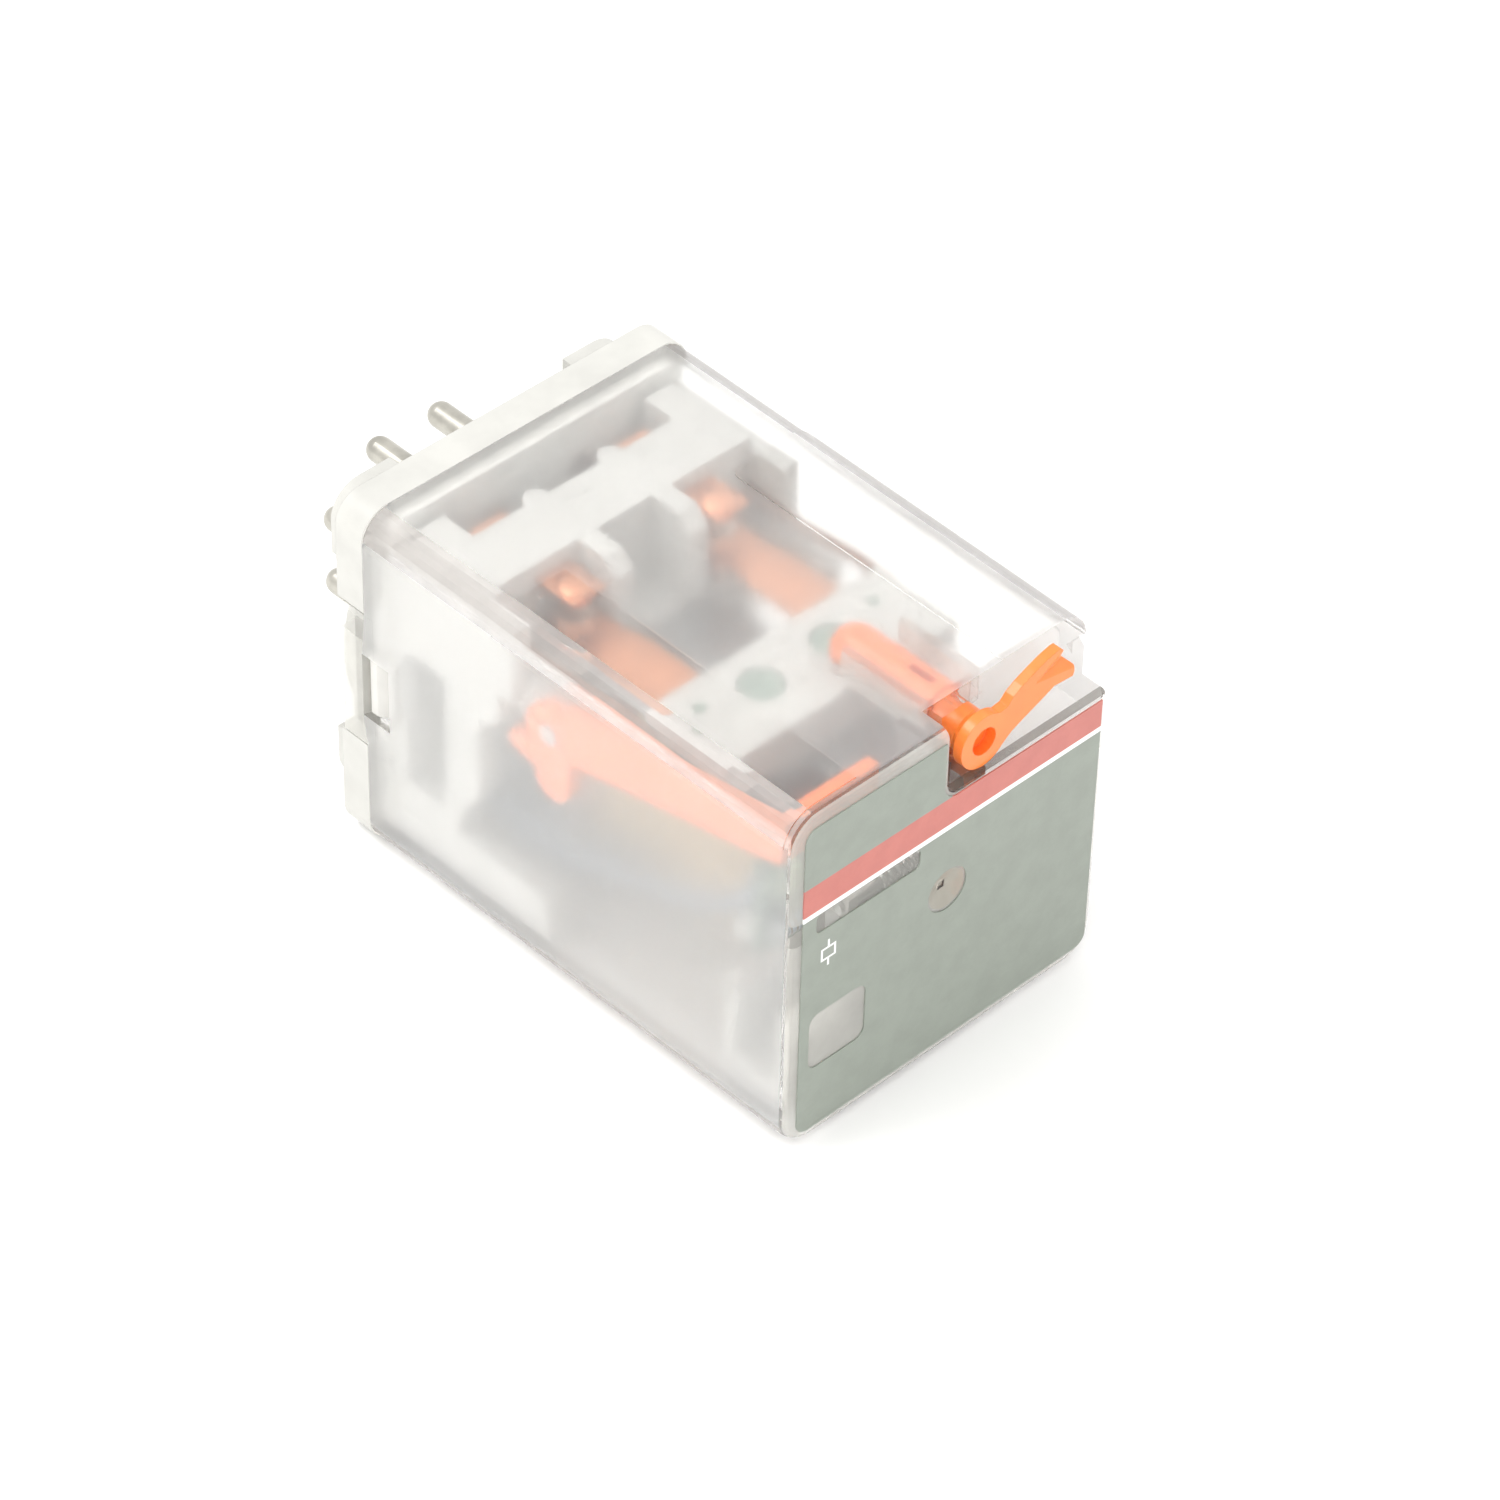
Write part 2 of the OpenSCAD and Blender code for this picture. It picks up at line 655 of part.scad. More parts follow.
// A rivet: the contact face is on one side of the strip and a low dome on the other
module contact_rivet(sx, z, up) {
    translate([sx * contact_x, contact_y, z - 0.2]) mirror([0, 0, up ? 0 : 1]) {
        rod_z(0, 0, 0.2 + fit, 0.2 + head_h, head_r);
        rod_z(0, 0, -0.3, 0.3, 0.7);
        translate([0, 0, -0.2 - fit]) rotate([180, 0, 0]) rotate_extrude()
            polygon(concat([[0, 0]], [for (a = [0 : 15 : 90]) [1.6 * cos(a), 0.5 * sin(a)]]));
    }
}

module fixed_contact_rivets() {
    color([0.85, 0.50, 0.32]) seat_frame() for (sx = [-1, 1]) {
        contact_rivet(sx, contact_z_upper(), false);
        contact_rivet(sx, contact_z_lower(), true);
    }
}

// Copper braids beside the springs, from the carrier back to the block
module flexible_leads() {
    color([0.58, 0.32, 0.20]) seat_frame() for (side = [0, 1]) mirror([side, 0, 0])
        yz_plate(12.6, 0.8) bent_strip([[19.6, 28.6], [24, 28.9], [30, 28.3], [block_y - fit, 28.3]], 0.5);
}

// ---- return spring ----

module return_spring() {
    turns = 7;
    steps = 12;
    coil_r = 1.05;
    x0 = -5.2;
    pitch = 0.8;
    helix = [for (i = [0 : turns * steps])
        [x0 + pitch * i / steps, spring_y + coil_r * cos(360 * i / steps),
            coil_spring_z + coil_r * sin(360 * i / steps)]];
    color([0.75, 0.75, 0.72]) seat_frame() swept_tube(helix, 0.22, [1, 0, 0], 6);
}

module spring_pin() {
    color(steel) seat_frame() rod_x(spring_y, coil_spring_z, -9.3, 1.2, 0.55);
}

// ---- indicator ----

board_y = 6;

module led_board() {
    color([0.10, 0.16, 0.12]) seat_frame() box(-14, -10, board_y, board_y + 1, 15.6, 25.2);
}

module indicator_led() {
    led_x = -12.1;
    led_z = 22.6;
    color([0.85, 0.95, 0.80]) seat_frame() {
        rod_y(led_x, led_z, board_y - 0.5, board_y - fit, 1.75);
        intersection() {
            translate([led_x, board_y, led_z]) sphere(r = 1.5);
            box(led_x - 2, led_x + 2, board_y - 2, board_y - fit, led_z - 2, led_z + 2);
        }
    }
}

module series_resistor() {
    color([0.35, 0.45, 0.60]) seat_frame() {
        rod_x(board_y - 1, 18.4, -13.2, -10.8, 0.7);
        box(-13.7, -10.3, board_y - 1.2, board_y - 0.8, 18.2, 18.6);
        for (x = [-13.7, -10.6]) box(x, x + 0.3, board_y - 1.2, board_y - fit, 18.2, 18.6);
    }
}

// ---- flag frame ----

// Side plate of the frame, drawn in y and z
module flag_outline() {
    difference() {
        union() {
            polygon([[2.7, 28.4], [2.7, 32.2], [26.6, 28.2], [27, 22.8]]);
            translate([flag_y, flag_z]) circle(r = 2.7);
            translate([26.2, 19.8]) square([3.8, 6]);
            translate([28.1, 19.9]) circle(r = 1.9);
            polygon([[29, 22.6], [32.9, 22.2], [33.3, 21.4], [32.6, 20.7], [29, 20]]);
        }
        translate([flag_y, flag_z]) circle(r = 0.95 + 0.05);
    }
}

module flag_frame() {
    flag_x = -15.5;
    cross_x = -5.6;
    color(orange) seat_frame() {
        yz_plate(flag_x, flag_t) flag_outline();
        box(flag_x, cross_x, 2.7, 3.9, 28.4, 32.2);
    }
}

module flag_pin() {
    color(cream) seat_frame() rod_x(flag_y, flag_z, -15.7, -12.95, 0.95);
}

// ---- test lever ----

hub_t = 0.9;
neck_r = 1.85;
neck_y1 = 5;
bearing_r = 1;
bearing_y = 2.9;
rod_r = 2.2;

// Half-round rod under the top of the cover. A pin at its front carries the lever, and a leg
// at its side reaches down in front of the armature, so a push on the lever moves the armature.
module test_plunger() {
    rod_y0 = neck_y1 + 0.06;
    leg_x0 = 4.6;
    leg_x1 = 5.8;
    leg_top = 24.3;
    leg_t = 1.2;
    finger_y0 = 2.2;
    toe_z = 11.6;
    color(orange) seat_frame() difference() {
        union() {
            intersection() {
                union() {
                    rod_y(lever_x, lever_z, rod_y0, plunger_end - rod_r, rod_r);
                    translate([lever_x, plunger_end - rod_r, lever_z]) sphere(r = rod_r);
                }
                box(0, 8, rod_y0, plunger_end + 1, lever_z, lever_z + 4);
            }
            rod_y(lever_x, lever_z, bearing_y, rod_y0 + 0.5, bearing_r);
            box(lever_x - 1.6, leg_x1, rod_y0, rod_y0 + leg_t, lever_z - 1.2, lever_z + 0.2);
            box(leg_x0, leg_x1, rod_y0, rod_y0 + leg_t, leg_top, lever_z + 0.2);
            box(leg_x0, leg_x1, finger_y0, rod_y0 + leg_t, leg_top, leg_top + leg_t);
            box(leg_x0, leg_x1, finger_y0, finger_y0 + 1.1, toe_z, leg_top + leg_t);
            box(leg_x0, leg_x1, finger_y0, plate_y - 0.45, toe_z, toe_z + 1.2);
        }
        box(lever_x - 0.35, lever_x + 0.35, rod_y0 + 1, 8.6, lever_z + 0.6, lever_z + 3);
    }
}

// Arm seen from the front, measured from the hub's axis: it widens to two tips with a notch
module arm_outline() {
    upper = [[0.6, 1.9], [2.4, 2.1], [3, 2.75], [3.9, 3.3], [5.3, 3.9], [6.6, 4.37], [7.7, 4.63]];
    tips = [[8.1, 4.62], [8.35, 4.35], [8.42, 3.5], [9.5, 2.3], [9.75, 2], [9.8, 1.3], [9.65, 0.95]];
    lower = [[7.6, 1.12], [5.8, 0.37], [4.4, -0.18], [3.05, -0.75], [2.3, -1.3], [1.7, -1.83], [0, -1.5]];
    polygon(concat(upper, tips, lower));
}

// Three-sided hollow in the face of the arm, deepest at the notch
module thumb_hollow(depth) {
    proud = 0.02;
    polyhedron(
        [[5.2, 2.6, proud], [9.4, 4.9, proud], [10.6, 1.55, proud], [10, 3.3, -depth]],
        [[0, 1, 2], [0, 3, 1], [0, 2, 3], [1, 3, 2]]);
}

module test_lever() {
    dimple_r = 1.25;
    dimple_d = 1;
    color(orange) seat_frame() translate([lever_x, 0, lever_z]) difference() {
        union() {
            rod_y(0, 0, hub_y, hub_y + hub_t, hub_r);
            translate([0, hub_y + hub_t + 0.7, 0]) rotate([90, 0, 0])
                cylinder(r1 = neck_r, r2 = hub_r, h = 0.7);
            rod_y(0, 0, hub_y + 0.5, neck_y1, neck_r);
            xz_plate(hub_y, arm_t) arm_outline();
        }
        rod_y(0, 0, hub_y - 1, hub_y + dimple_d, dimple_r);
        rod_y(0, 0, bearing_y - 0.3, neck_y1 + 1, bearing_r + 0.05);
        translate([0, hub_y, 0]) rotate([90, 0, 0]) thumb_hollow(0.7);
    }
}

base();
octal_pins();
terminal_straps();
contact_block();
cover();
front_label();
coil_bobbin();
coil_winding();
coil_tape();
coil_core();
shading_ring();
yoke();
yoke_rivets();
coil_lead();
armature();
insulating_plate();
contact_carrier();
carrier_rivets();
moving_spring_left();
moving_spring_right();
moving_contacts();
upper_contact_left();
upper_contact_right();
lower_contact_left();
lower_contact_right();
fixed_contact_rivets();
flexible_leads();
return_spring();
spring_pin();
led_board();
indicator_led();
series_resistor();
flag_frame();
flag_pin();
test_plunger();
test_lever();
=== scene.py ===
"""Looks of the plug-in relay: materials on the CAD nodes, pale studio, camera."""
import math

import bpy
from mathutils import Matrix, Vector


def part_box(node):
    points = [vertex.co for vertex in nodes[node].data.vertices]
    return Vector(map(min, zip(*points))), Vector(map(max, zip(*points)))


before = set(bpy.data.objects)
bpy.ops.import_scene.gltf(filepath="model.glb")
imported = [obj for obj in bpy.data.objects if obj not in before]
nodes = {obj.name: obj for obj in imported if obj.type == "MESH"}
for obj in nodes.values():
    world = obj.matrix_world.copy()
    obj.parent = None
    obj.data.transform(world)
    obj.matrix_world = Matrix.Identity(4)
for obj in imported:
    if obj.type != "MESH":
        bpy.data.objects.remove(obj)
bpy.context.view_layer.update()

MM = 0.001
# The CAD draws from the lower edge of the front face; the record's origin is on the seat plane.
SEAT_Y = 54.4
MID_Z = 17.5
# heights on the front, in mm above its lower edge
RECESS_Z = 27.75
BAND_TOP = 27.72
BAND_LOW = 24.9
LINE_LOW = 24.4
UPPER_WINDOW_LOW = 22.2


def front_point(x, y, z):
    """A point given in mm from the lower edge of the front face, in the row frame in metres."""
    return Vector((x * MM, (y - SEAT_Y) * MM, (z - MID_Z) * MM))


# ---------------------------------------------------------------- node helpers


class Mat:
    """A small builder for one procedural material."""

    def __init__(self, name, **inputs):
        self.material = bpy.data.materials.new(name)
        self.material.use_nodes = True
        self.tree = self.material.node_tree
        self.shader = self.tree.nodes["Principled BSDF"]
        for key, value in inputs.items():
            self.shader.inputs[key.replace("_", " ")].default_value = value
        self.where = self.add("ShaderNodeTexCoord").outputs["Object"]

    def add(self, kind, **settings):
        node = self.tree.nodes.new(kind)
        for key, value in settings.items():
            setattr(node, key, value)
        return node

    def link(self, out, into):
        self.tree.links.new(out, into)

    def math(self, operation, a, b=None, c=None):
        node = self.add("ShaderNodeMath", operation=operation)
        for slot, value in enumerate((a, b, c)):
            if value is None:
                continue
            if hasattr(value, "is_linked"):
                self.link(value, node.inputs[slot])
            else:
                node.inputs[slot].default_value = value
        return node.outputs[0]

    def noise(self, scale, detail=4.0, rough=0.55, stretch=(1, 1, 1)):
        mapping = self.add("ShaderNodeMapping")
        mapping.inputs["Scale"].default_value = stretch
        self.link(self.where, mapping.inputs["Vector"])
        node = self.add("ShaderNodeTexNoise")
        node.inputs["Scale"].default_value = scale
        node.inputs["Detail"].default_value = detail
        node.inputs["Roughness"].default_value = rough
        self.link(mapping.outputs[0], node.inputs["Vector"])
        return node.outputs["Fac"]

    def ramp(self, value, low, high, at=(0.35, 0.65)):
        """value runs from colour low to colour high between the two places."""
        node = self.add("ShaderNodeValToRGB")
        node.color_ramp.elements[0].position = at[0]
        node.color_ramp.elements[1].position = at[1]
        node.color_ramp.elements[0].color = (*low, 1)
        node.color_ramp.elements[1].color = (*high, 1)
        self.link(value, node.inputs["Fac"])
        return node.outputs["Color"]

    def mix(self, fac, a, b):
        node = self.add("ShaderNodeMix", data_type="RGBA")
        self.link(fac, node.inputs["Factor"])
        for socket, value in ((node.inputs[6], a), (node.inputs[7], b)):
            if hasattr(value, "is_linked"):
                self.link(value, socket)
            else:
                socket.default_value = (*value, 1)
        return node.outputs[2]

    def rough_range(self, value, low, high):
        node = self.add("ShaderNodeMapRange")
        node.inputs["To Min"].default_value = low
        node.inputs["To Max"].default_value = high
        self.link(value, node.inputs["Value"])
        self.link(node.outputs["Result"], self.shader.inputs["Roughness"])

    def bump(self, height, strength, distance, edge=0.0):
        """Fine relief, over edges rounded by edge millimetres."""
        node = self.add("ShaderNodeBump")
        node.inputs["Strength"].default_value = strength
        node.inputs["Distance"].default_value = distance * MM
        self.link(height, node.inputs["Height"])
        if edge:
            bevel = self.add("ShaderNodeBevel", samples=4)
            bevel.inputs["Radius"].default_value = edge * MM
            self.link(bevel.outputs[0], node.inputs["Normal"])
        self.link(node.outputs[0], self.shader.inputs["Normal"])

    def axes(self):
        """x, y and z in millimetres from the lower edge of the front face."""
        split = self.add("ShaderNodeSeparateXYZ")
        self.link(self.where, split.inputs[0])
        x = self.math("MULTIPLY", split.outputs[0], 1000.0)
        y = self.math("MULTIPLY_ADD", split.outputs[1], 1000.0, SEAT_Y)
        z = self.math("MULTIPLY_ADD", split.outputs[2], 1000.0, MID_Z)
        return x, y, z

    def span(self, value, low, high):
        """1 where value lies between low and high."""
        above = self.math("GREATER_THAN", value, low)
        below = self.math("LESS_THAN", value, high)
        return self.math("MULTIPLY", above, below)

    def rect(self, a, a0, a1, b, b0, b1):
        return self.math("MULTIPLY", self.span(a, a0, a1), self.span(b, b0, b1))


def shade(colour, by):
    return tuple(min(1.0, c * by) for c in colour)


def moulded(name, colour, rough, grain=0.03, edge=0.12, **inputs):
    """Moulded plastic: faint flow clouding, fine grain, rounded edges."""
    m = Mat(name, **inputs)
    cloud = m.noise(220, 3)
    m.link(m.ramp(cloud, shade(colour, 0.94), shade(colour, 1.04)), m.shader.inputs["Base Color"])
    m.rough_range(m.noise(1500, 3), rough - 0.06, rough + 0.08)
    m.bump(m.noise(5200, 2), 0.35, grain, edge)
    return m.material


def metal(name, colour, rough, stretch=(1, 1, 1), grain=0.02, edge=0.06, **inputs):
    """Metal with fine rolling or drawing marks along one direction and slight tarnish."""
    m = Mat(name, Metallic=1.0, **inputs)
    tarnish = m.noise(420, 5, 0.6)
    m.link(m.ramp(tarnish, shade(colour, 0.82), shade(colour, 1.06)), m.shader.inputs["Base Color"])
    lines = m.noise(3000, 3, 0.6, stretch)
    m.rough_range(lines, rough - 0.08, rough + 0.12)
    m.bump(lines, 0.3, grain, edge)
    return m.material


# ---------------------------------------------------------------- materials

CREAM = (0.54, 0.535, 0.505)
cream = moulded("cream_moulding", CREAM, 0.42)
# brighter copies of the cream moulding: painted light on the parts inside the cover
cream_inner_painted_light = moulded("cream_inner_painted_light", (0.62, 0.61, 0.58), 0.5)
cream_painted_light = moulded("cream_under_cover_painted_light", (0.86, 0.85, 0.81), 0.5)
bobbin = moulded("bobbin_moulding", (0.62, 0.61, 0.575), 0.5)
orange = moulded("orange_moulding", (0.94, 0.215, 0.032), 0.30, grain=0.015,
                 Subsurface_Weight=0.15, Subsurface_Scale=0.001, Coat_Weight=0.2, Coat_Roughness=0.15)
blue_grey = moulded("wire_sheath", (0.20, 0.25, 0.31), 0.4)
board = moulded("board_green", (0.05, 0.12, 0.08), 0.5)
tape = moulded("winding_tape", (0.60, 0.42, 0.20), 0.25, edge=0.0)
plated_pin = metal("plated_pin", (0.46, 0.445, 0.40), 0.3, (1, 0.05, 1), edge=0.0)
copper = metal("spring_copper", (0.80, 0.36, 0.20), 0.36, (1, 0.05, 1))
# a darker copy of the copper for the straps: painted shade of the slots they lie in
copper_painted_shade = metal("strap_copper_painted_shade", (0.40, 0.31, 0.26), 0.42, (0.1, 1, 1))
iron = metal("magnet_steel", (0.46, 0.47, 0.47), 0.40, (0.1, 1, 1))
rivet = metal("rivet_steel", (0.36, 0.44, 0.38), 0.38, edge=0.15)
contact = metal("contact_silver", (0.78, 0.70, 0.62), 0.30, edge=0.15)
wire_steel = metal("spring_wire", (0.60, 0.61, 0.60), 0.28, edge=0.0)


def winding_material():
    """Layers of thin enamelled wire: fine rings across the coil, with slips between turns; the colour
    follows the rings, with painted shade in the grooves and painted light on the crests.
    """
    m = Mat("enamelled_winding", Coat_Weight=0.5, Coat_Roughness=0.12)
    x, y, z = m.axes()
    wobble = m.math("MULTIPLY_ADD", m.noise(260, 2), 0.35, y)
    turn = m.math("SINE", m.math("MULTIPLY", wobble, 2 * math.pi / 0.3))
    # painted shade between the turns and painted light on their crests, following the same rings as the
    # relief
    colour = m.ramp(turn, (0.24, 0.075, 0.035), (0.62, 0.22, 0.10), (0.2, 0.8))
    m.link(colour, m.shader.inputs["Base Color"])
    m.rough_range(m.noise(900, 3), 0.28, 0.48)
    m.bump(turn, 0.8, 0.05)
    return m.material


def braid_material():
    """Plaited copper strands, with painted shade between the strands and painted light on them."""
    m = Mat("plaited_copper", Metallic=1.0)
    x, y, z = m.axes()
    weave_relief_and_painted_shade = m.math("MULTIPLY", m.math("SINE", m.math("MULTIPLY_ADD", y, 14.0, 0.0)),
                   m.math("SINE", m.math("MULTIPLY", m.math("ADD", x, z), 14.0)))
    # painted shade in the gaps of the weave and painted light on the strands, following the same pattern as
    # the relief
    m.link(m.ramp(weave_relief_and_painted_shade, (0.26, 0.10, 0.05), (0.70, 0.33, 0.19), (0.2, 0.8)), m.shader.inputs["Base Color"])
    m.rough_range(m.noise(2500, 3), 0.35, 0.55)
    m.bump(weave_relief_and_painted_shade, 0.9, 0.12)
    return m.material


def laminate_material():
    """Phenolic laminate: red-brown with fine paper fibre."""
    m = Mat("phenolic_laminate", Coat_Weight=0.25, Coat_Roughness=0.25)
    fibre = m.noise(1400, 6, 0.65, (1, 0.25, 1))
    m.link(m.ramp(fibre, (0.12, 0.03, 0.015), (0.26, 0.075, 0.035)), m.shader.inputs["Base Color"])
    m.rough_range(fibre, 0.35, 0.55)
    m.bump(fibre, 0.3, 0.03, 0.08)
    return m.material


def lens_material():
    m = Mat("tinted_lens", Transmission_Weight=0.85, IOR=1.52)
    m.link(m.ramp(m.noise(700, 2), (0.62, 0.86, 0.55), (0.78, 0.95, 0.70)), m.shader.inputs["Base Color"])
    m.rough_range(m.noise(2500, 2), 0.08, 0.2)
    return m.material


def resistor_material():
    """Lacquered body with plain colour rings and bare ends."""
    m = Mat("lacquered_resistor", Coat_Weight=0.4, Coat_Roughness=0.15)
    x, y, z = m.axes()
    body = m.ramp(m.noise(900, 3), (0.20, 0.30, 0.40), (0.27, 0.38, 0.50))
    ring = m.math("MAXIMUM", m.span(x, -12.8, -12.6), m.span(x, -12.2, -12.0))
    ends = m.math("SUBTRACT", 1.0, m.span(x, -13.2, -10.8))
    ringed = m.mix(ring, body, (0.10, 0.05, 0.03))
    m.link(m.mix(ends, ringed, (0.6, 0.6, 0.6)), m.shader.inputs["Base Color"])
    m.rough_range(m.noise(1500, 2), 0.3, 0.45)
    m.bump(m.noise(3000, 2), 0.3, 0.03)
    return m.material


def label_material():
    """Printed foil: grey-green ground, red band, white line, one plain coil sign. No lettering."""
    m = Mat("printed_foil", Coat_Weight=0.3, Coat_Roughness=0.3)
    x, y, z = m.axes()
    ground = m.ramp(m.noise(500, 5), (0.226, 0.252, 0.215), (0.247, 0.275, 0.236))
    red = m.ramp(m.noise(500, 5), (0.47, 0.128, 0.104), (0.51, 0.144, 0.116))
    band = m.span(z, BAND_LOW, BAND_TOP)
    line = m.span(z, LINE_LOW, BAND_LOW)
    # the coil sign: a small upright box with a lead above and below it
    outer_box = m.rect(x, -14.0, -12.4, z, 19.1, 20.4)
    inner_box = m.rect(x, -13.8, -12.6, z, 19.3, 20.2)
    box_line = m.math("SUBTRACT", outer_box, inner_box)
    upright_line = m.rect(x, -13.3, -13.1, z, 18.4, 21.1)
    leads = m.math("SUBTRACT", upright_line, m.rect(x, -13.4, -13.0, z, 19.3, 20.2))
    sign = m.math("MAXIMUM", box_line, leads)
    coloured = m.mix(band, ground, red)
    lined = m.mix(line, coloured, (0.86, 0.86, 0.85))
    m.link(m.mix(sign, lined, (0.82, 0.83, 0.82)), m.shader.inputs["Base Color"])
    m.rough_range(m.noise(2600, 3), 0.34, 0.5)
    m.bump(m.noise(6000, 2), 0.25, 0.012)
    return m.material


def cover_material(name, rough, haze, grain=0.0):
    """Clear plastic: haze is the share of light that the surface scatters white."""
    m = Mat(name, Transmission_Weight=1.0 - haze, IOR=1.16, Coat_Weight=0.5, Coat_Roughness=0.15)
    tint = m.ramp(m.noise(300, 3), (0.985, 0.983, 0.975), (1.0, 1.0, 0.995))
    m.link(tint, m.shader.inputs["Base Color"])
    m.rough_range(m.noise(2400, 3), max(0.0, rough - 0.03), rough + 0.03)
    if grain:
        m.bump(m.noise(6500, 2, 0.5), 0.15, grain)
    return m.material


def edge_material(name, colour, share, rough, place=None, there=None, there_share=0.0):
    """Edges, ribs and corners of the clear plastic, which only veil what lies behind them.

    Inside a place the veil has another colour and another share.
    """
    m = Mat(name, Alpha=share, IOR=1.5)
    tint = m.ramp(m.noise(300, 3), shade(colour, 0.95), shade(colour, 1.05))
    if place:
        inside = place(m)
        tint = m.mix(inside, tint, there)
        m.link(m.math("MULTIPLY_ADD", inside, there_share - share, share), m.shader.inputs["Alpha"])
    m.link(tint, m.shader.inputs["Base Color"])
    m.rough_range(m.noise(2400, 3), rough - 0.04, rough + 0.04)
    return m.material


def recess_front_painted_shade(m):
    """The front end of the recess floor, under which the case is dark; the veil there is painted shade."""
    x, y, z = m.axes()
    return m.rect(y, 0.2, 1.05, z, RECESS_Z - 0.5, RECESS_Z + 0.1)


def upper_window(m):
    """The window that shows the return spring."""
    x, y, z = m.axes()
    return m.span(z, UPPER_WINDOW_LOW, LINE_LOW + 0.05)


def right_corners_painted_shade(m):
    """The right corners, seen against the pale floor, where the veil is painted darker as shade."""
    x, y, z = m.axes()
    return m.span(x, 0, 20)


# the edge veil turns dark and dense at the front of the recess: painted shade under the recess floor
edge = edge_material("cover_edge", (0.46, 0.43, 0.41), 0.18, 0.12, recess_front_painted_shade, (0.16, 0.145, 0.125), 0.7)
# the right corners get a darker, denser veil than the left ones: painted shade on the right side
corner = edge_material("cover_corner", (0.54, 0.51, 0.49), 0.45, 0.3, right_corners_painted_shade, (0.34, 0.32, 0.31), 0.55)
front = edge_material("cover_front", (0.72, 0.71, 0.665), 0.46, 0.2, upper_window, (0.64, 0.63, 0.59), 0.33)
side = cover_material("cover_side_frost", 0.56, 0.20, 0.005)
top = cover_material("cover_top_frost", 0.42, 0.15, 0.005)
strip = cover_material("cover_strip", 0.36, 0.10)
inner = cover_material("cover_inner", 0.10, 0.02)
gate = edge_material("cover_gate", (0.54, 0.51, 0.44), 0.6, 0.3)


# ---------------------------------------------------------------- materials on the nodes

LOOKS = {
    cream: ("base", "flag_pin"),
    # the contact block and carrier take the brighter cream copy: painted light inside the cover
    cream_inner_painted_light: ("contact_block", "contact_carrier"),
    bobbin: ("coil_bobbin",),
    orange: ("flag_frame", "test_plunger", "test_lever"),
    blue_grey: ("coil_lead",),
    board: ("led_board",),
    tape: ("coil_tape",),
    plated_pin: ("octal_pins",),
    copper: ("moving_spring_left", "moving_spring_right", "upper_contact_left",
             "upper_contact_right", "lower_contact_left", "lower_contact_right", "fixed_contact_rivets",
             "shading_ring"),
    copper_painted_shade: ("terminal_straps",),
    iron: ("coil_core", "yoke", "armature"),
    rivet: ("carrier_rivets", "yoke_rivets"),
    contact: ("moving_contacts",),
    wire_steel: ("return_spring", "spring_pin"),
    winding_material(): ("coil_winding",),
    braid_material(): ("flexible_leads",),
    laminate_material(): ("insulating_plate",),
    lens_material(): ("indicator_led",),
    resistor_material(): ("series_resistor",),
    label_material(): ("front_label",),
}
for material, names in LOOKS.items():
    for name in names:
        mesh = nodes[name].data
        mesh.materials.clear()
        mesh.materials.append(material)

STRIP_X = -9.7
PAD_X = 7.8
STRIP_BACK = 33.35
STRIP_Z = 31.9
FLANGE_Y = 48.4
FRONT_SKIN = 0.85
GATE_X = -0.3
GATE_Z = 18
GATE_R = 2.0
# how far from the axis the walls' inner and outer faces lie, and the rounded corners between walls
INNER_WALL = (15.0, 16.6)
OUTER_WALL = 16.4
CORNER_START = 14
CORNER_OUT = 16.3
# least share of a wall's direction in a flat face, and most forward slope in a rounded one
FLAT = 0.985
SLOPE = 0.3
COVER_LOOKS = (edge, side, top, strip, inner, gate, corner, front)


def is_guide_rib(x, y, z):
    return 0.2 < x < 7.2 and 5.2 < y < 14 and 30 < z < 32.95


def cover_look(face):
    """Long walls are frosted outside, more on the sides than on top; two raised strips are smoother."""
    x = face.center.x / MM
    y = face.center.y / MM + SEAT_Y
    up = face.center.z / MM
    z = up + MID_Z
    if y < FRONT_SKIN and abs(face.normal.y) > 0.5:
        return gate if math.hypot(x - GATE_X, z - GATE_Z) < GATE_R else front
    if y > FLANGE_Y - 0.1 or is_guide_rib(x, y, z):
        return front
    across, upright = abs(face.normal.x), abs(face.normal.z)
    reach = abs(x) if across > upright else abs(up)
    outward = face.normal.x * x if across > upright else face.normal.z * up
    near, far = sorted((abs(x), abs(up)))
    if max(across, upright) < FLAT:
        rounded = abs(face.normal.y) < SLOPE and near > CORNER_START and far > CORNER_OUT
        return corner if rounded and outward > 0 else edge
    if outward < 0:
        return inner if INNER_WALL[0] < reach < INNER_WALL[1] else edge
    if reach < OUTER_WALL:
        return edge
    if z < STRIP_Z or across > upright:
        return side
    return strip if y < STRIP_BACK and (x < STRIP_X or x > PAD_X) else top


cover = nodes["cover"].data
cover.materials.clear()
for look in COVER_LOOKS:
    cover.materials.append(look)
for face in cover.polygons:
    face.material_index = COVER_LOOKS.index(cover_look(face))

# the part of the base inside the cover has its own creams, both painted light: one for the sides, less
# bright as painted shade, one for the rest
base = nodes["base"].data
base_looks = [base.materials[0], cream_painted_light, cream_inner_painted_light]
for look in base_looks[1:]:
    base.materials.append(look)
for face in base.polygons:
    if face.center.y / MM + SEAT_Y < FLANGE_Y + 0.1:
        look = cream_inner_painted_light if abs(face.normal.x) > 0.7 else cream_painted_light
        face.material_index = base_looks.index(look)


# ---------------------------------------------------------------- studio

world = bpy.context.scene.world or bpy.data.worlds.new("studio")
bpy.context.scene.world = world
world.use_nodes = True
background = world.node_tree.nodes["Background"]
background.inputs["Color"].default_value = (1.0, 0.995, 0.985, 1)
background.inputs["Strength"].default_value = 1.3

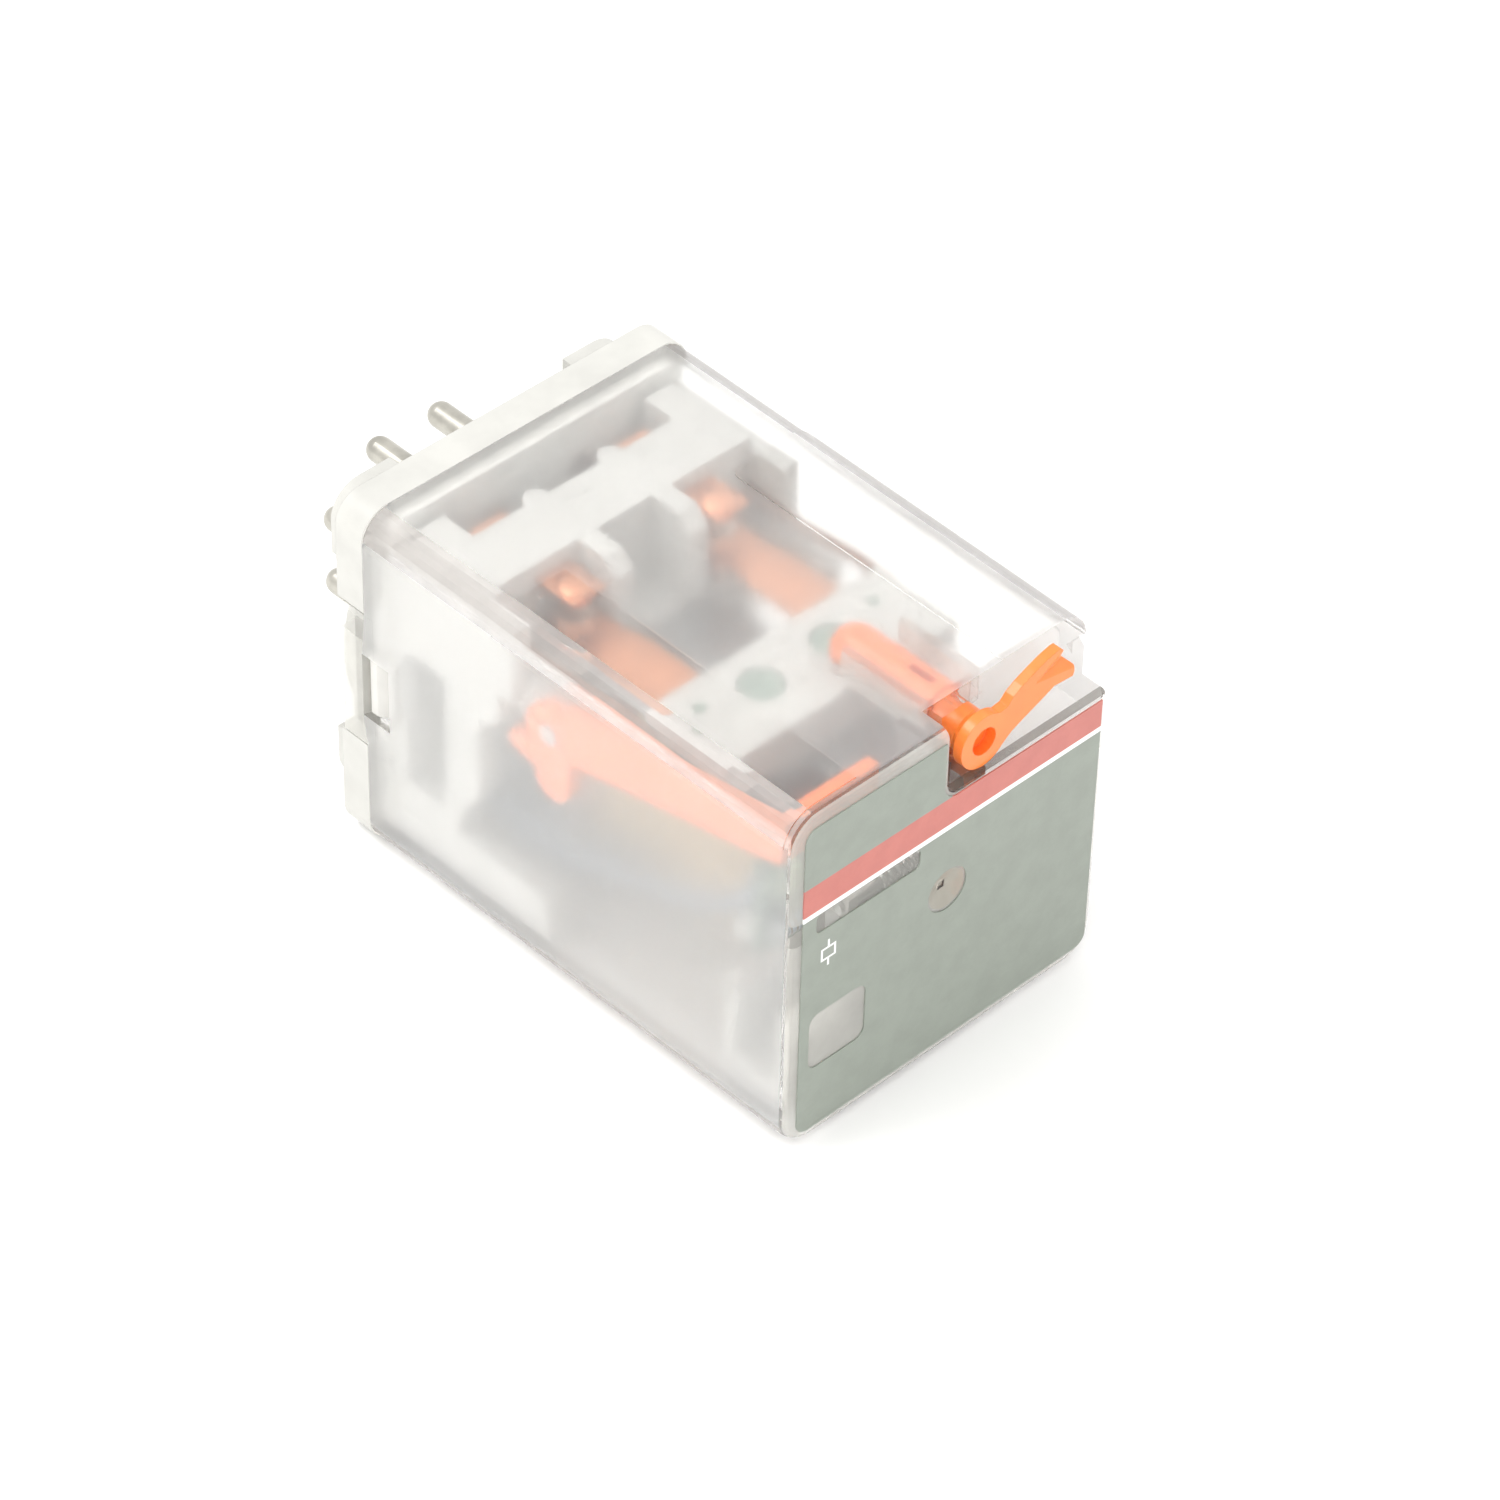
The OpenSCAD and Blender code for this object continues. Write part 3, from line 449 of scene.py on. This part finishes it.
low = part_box("base")[0].z
reach = 3.0
floor_mesh = bpy.data.meshes.new("floor")
floor_corners = [(x * reach, y * reach, low) for x, y in ((-1, -1), (1, -1), (1, 1), (-1, 1))]
floor_mesh.from_pydata(floor_corners, [], [(0, 1, 2, 3)])
floor = bpy.data.objects.new("floor", floor_mesh)
bpy.context.scene.collection.objects.link(floor)
paper = Mat("pale_paper", Roughness=0.9)
paper_tint = paper.ramp(paper.noise(6, 3), (0.93, 0.93, 0.925), (0.95, 0.95, 0.945))
paper.link(paper_tint, paper.shader.inputs["Base Color"])
floor_mesh.materials.append(paper.material)


def soft_light(name, place, aim, size, power):
    data = bpy.data.lights.new(name, "AREA")
    data.shape = "DISK"
    data.size = size
    data.energy = power
    lamp = bpy.data.objects.new(name, data)
    bpy.context.scene.collection.objects.link(lamp)
    lamp.location = place
    lamp.rotation_euler = (Vector(aim) - Vector(place)).to_track_quat("-Z", "Y").to_euler()


middle = (0, -0.03, 0)
soft_light("key", (-0.25, 0.20, 0.55), middle, 0.35, 1.8)
soft_light("fill", (-0.6, -0.5, 0.35), middle, 0.5, 1.0)

# ---------------------------------------------------------------- camera

AZIMUTH = math.radians(-44.81)
ELEVATION = math.radians(42.18)
ROLL = math.radians(1.538)
DISTANCE = 483.57
target = front_point(4.762, 27.0, 11.304)
away = Vector((math.sin(AZIMUTH) * math.cos(ELEVATION), -math.cos(AZIMUTH) * math.cos(ELEVATION),
               math.sin(ELEVATION)))
level = Vector((math.cos(AZIMUTH), math.sin(AZIMUTH), 0))
upward = away.cross(level)
across = math.cos(ROLL) * level + math.sin(ROLL) * upward
upright = away.cross(across)
turn = Matrix((across, upright, away)).transposed().to_4x4()
camera_data = bpy.data.cameras.new("camera")
camera_data.sensor_width = 36
camera_data.lens = 143.535
camera_data.clip_start = 0.01
camera = bpy.data.objects.new("camera", camera_data)
camera.matrix_world = Matrix.Translation(target + away * DISTANCE * MM) @ turn
bpy.context.scene.collection.objects.link(camera)
bpy.context.scene.camera = camera
bpy.context.scene.view_settings.view_transform = "Standard"

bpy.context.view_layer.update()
